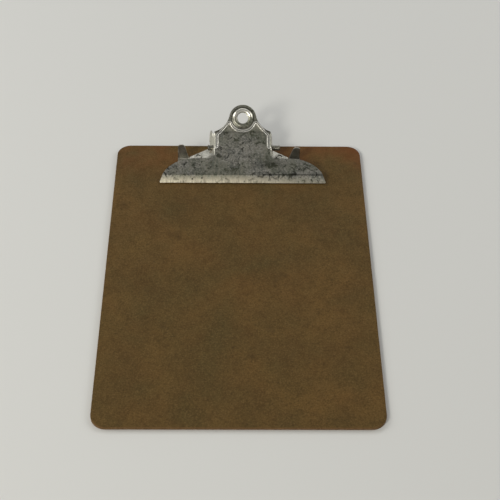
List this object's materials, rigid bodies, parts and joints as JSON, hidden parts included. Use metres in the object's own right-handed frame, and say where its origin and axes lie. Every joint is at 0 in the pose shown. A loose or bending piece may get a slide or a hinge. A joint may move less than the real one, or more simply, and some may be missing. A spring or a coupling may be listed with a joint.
{
  "type": "clipboard",
  "caption": "Letter-size hardboard clipboard with a wide sprung lever clip of stamped steel, upright paper stops and a hanging hole in its thumb tab.",
  "frame": {"origin": "centre of the board's back face, which is the face it lies on", "axes": "+Z out of the writing face, +Y along the board towards the clip, +X to the writer's right"},
  "size_m": [0.2286, 0.3374, 0.0378],
  "materials": {
    "hardboard": "tempered hardboard, pressed smooth on the face, brown, with sawn edges",
    "nickel_plated_steel": "stamped sheet steel, nickel plated, worn and tarnished",
    "zinc_plated_steel": "stamped sheet steel, zinc plated, dulled",
    "spring_steel": "hard drawn spring wire, oiled"
  },
  "bodies": {
    "base": {"board": "hardboard", "base_plate": "zinc_plated_steel", "hinge_pin": "nickel_plated_steel", "torsion_spring": "spring_steel", "rivet_left": "zinc_plated_steel", "rivet_right": "zinc_plated_steel"},
    "lever": {"clamp_lever": "nickel_plated_steel"}
  },
  "joints": [
    {"name": "lever_hinge", "type": "hinge", "parent": "base", "child": "lever", "pos_m": [0, 0.14625, 0.0122], "axis": [-1, 0, 0], "range_deg": [0, 40], "stiffness_Nm_per_rad": 0.8, "springref_deg": -68.75, "deforming": ["torsion_spring"]}
  ]
}
